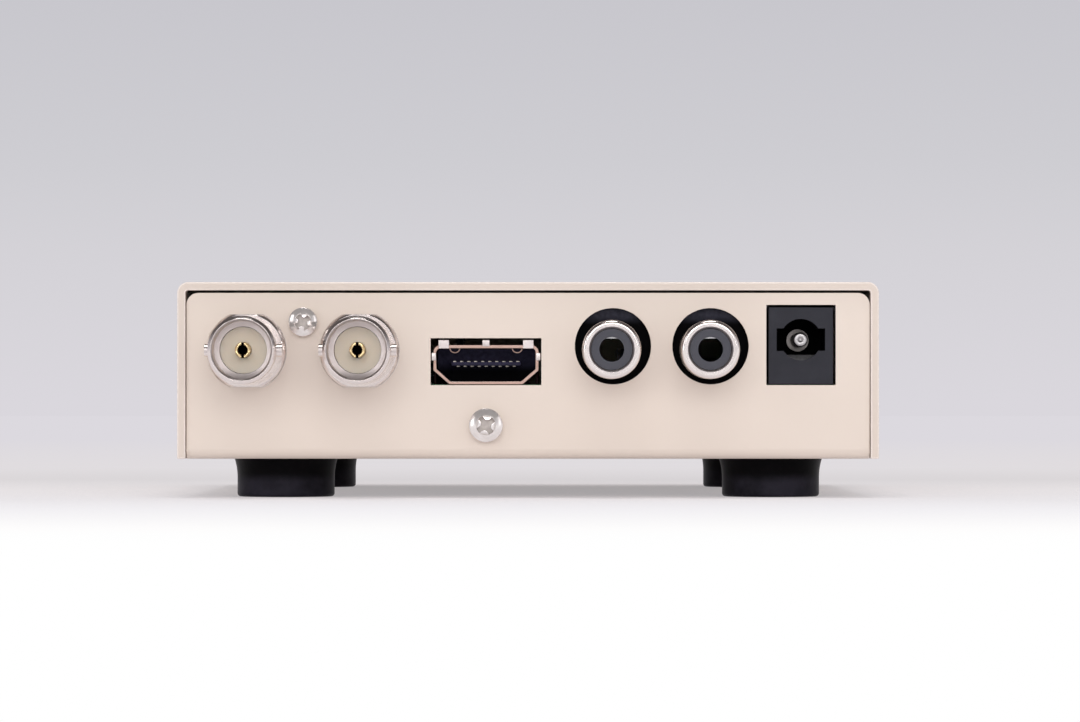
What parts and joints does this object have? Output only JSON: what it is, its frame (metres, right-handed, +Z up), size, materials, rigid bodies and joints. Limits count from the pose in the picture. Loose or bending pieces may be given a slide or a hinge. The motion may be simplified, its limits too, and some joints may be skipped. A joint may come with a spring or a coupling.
{
  "type": "hdmi extender receiver",
  "caption": "Small desktop receiver in a folded steel case on rubber feet, with coax, picture, sound and power sockets in one end panel.",
  "frame": {"origin": "middle of the object's box, on the desk under the feet", "axes": "+X to the right seen from the socket panel, -Y out of the socket panel, +Z up"},
  "size_m": [0.1, 0.1226, 0.0308],
  "materials": {
    "powder_coat": "fine-textured powder coat on steel sheet",
    "rubber_foot": "moulded, matt",
    "zinc_steel": "zinc plated",
    "nickel_plate": "satin nickel plate",
    "shell_nickel": "nickel-plated copper alloy sheet with bare cut edges",
    "gold_plate": "gold plate",
    "tin_plate": "tin plate",
    "cream_insulator": "turned fluoropolymer",
    "grey_insulator": "moulded",
    "black_plastic": "moulded",
    "jack_plastic": "moulded",
    "board_green": "solder mask on glass fibre board",
    "chip_black": "moulded package",
    "silicone_pad": "soft pad",
    "sink_aluminium": "anodised",
    "can_aluminium": "drawn can",
    "can_sleeve": "shrunk film sleeve over an aluminium can",
    "ferrite": "sintered",
    "ceramic_part": "fired",
    "green_lens": "clear-tinted moulding",
    "blue_lens": "clear-tinted moulding"
  },
  "bodies": {
    "root": {"top_cover": "powder_coat", "base_chassis": "powder_coat", "cover_screws": "zinc_steel", "cover_nuts": "zinc_steel", "foot_socket_left": "rubber_foot", "foot_socket_right": "rubber_foot", "foot_lamp_left": "rubber_foot", "foot_lamp_right": "rubber_foot", "foot_washers": "zinc_steel", "foot_screws": "zinc_steel", "foot_nuts": "zinc_steel", "main_board": "board_green", "board_standoffs": "nickel_plate", "board_screws": "zinc_steel", "bnc_in_shell": "nickel_plate", "bnc_in_insulator": "cream_insulator", "bnc_in_contact": "gold_plate", "bnc_out_shell": "nickel_plate", "bnc_out_insulator": "cream_insulator", "bnc_out_contact": "gold_plate", "bnc_board": "board_green", "bnc_post": "nickel_plate", "bnc_panel_screw": "zinc_steel", "bnc_board_screw": "zinc_steel", "header_block": "black_plastic", "header_pins": "gold_plate", "hdmi_shell": "shell_nickel", "hdmi_insulator": "jack_plastic", "hdmi_contacts": "gold_plate", "hdmi_lock_screw": "zinc_steel", "hdmi_lock_nut": "zinc_steel", "rca_left_housing": "black_plastic", "rca_left_barrel": "nickel_plate", "rca_left_insulator": "grey_insulator", "rca_left_contact": "tin_plate", "rca_right_housing": "black_plastic", "rca_right_barrel": "nickel_plate", "rca_right_insulator": "grey_insulator", "rca_right_contact": "tin_plate", "dc_jack_housing": "jack_plastic", "dc_jack_pin": "tin_plate", "dc_jack_spring": "tin_plate", "receiver_chip": "chip_black", "thermal_pad": "silicone_pad", "heat_sink": "sink_aluminium", "hdmi_driver_chip": "chip_black", "audio_chip": "chip_black", "crystal": "can_aluminium", "capacitors": "can_aluminium", "storage_capacitor": "can_sleeve", "power_inductor": "ferrite", "voltage_regulator": "chip_black", "small_passives": "ceramic_part", "lamp_holders": "black_plastic", "power_lamp": "green_lens", "link_lamp": "blue_lens"}
  },
  "joints": []
}
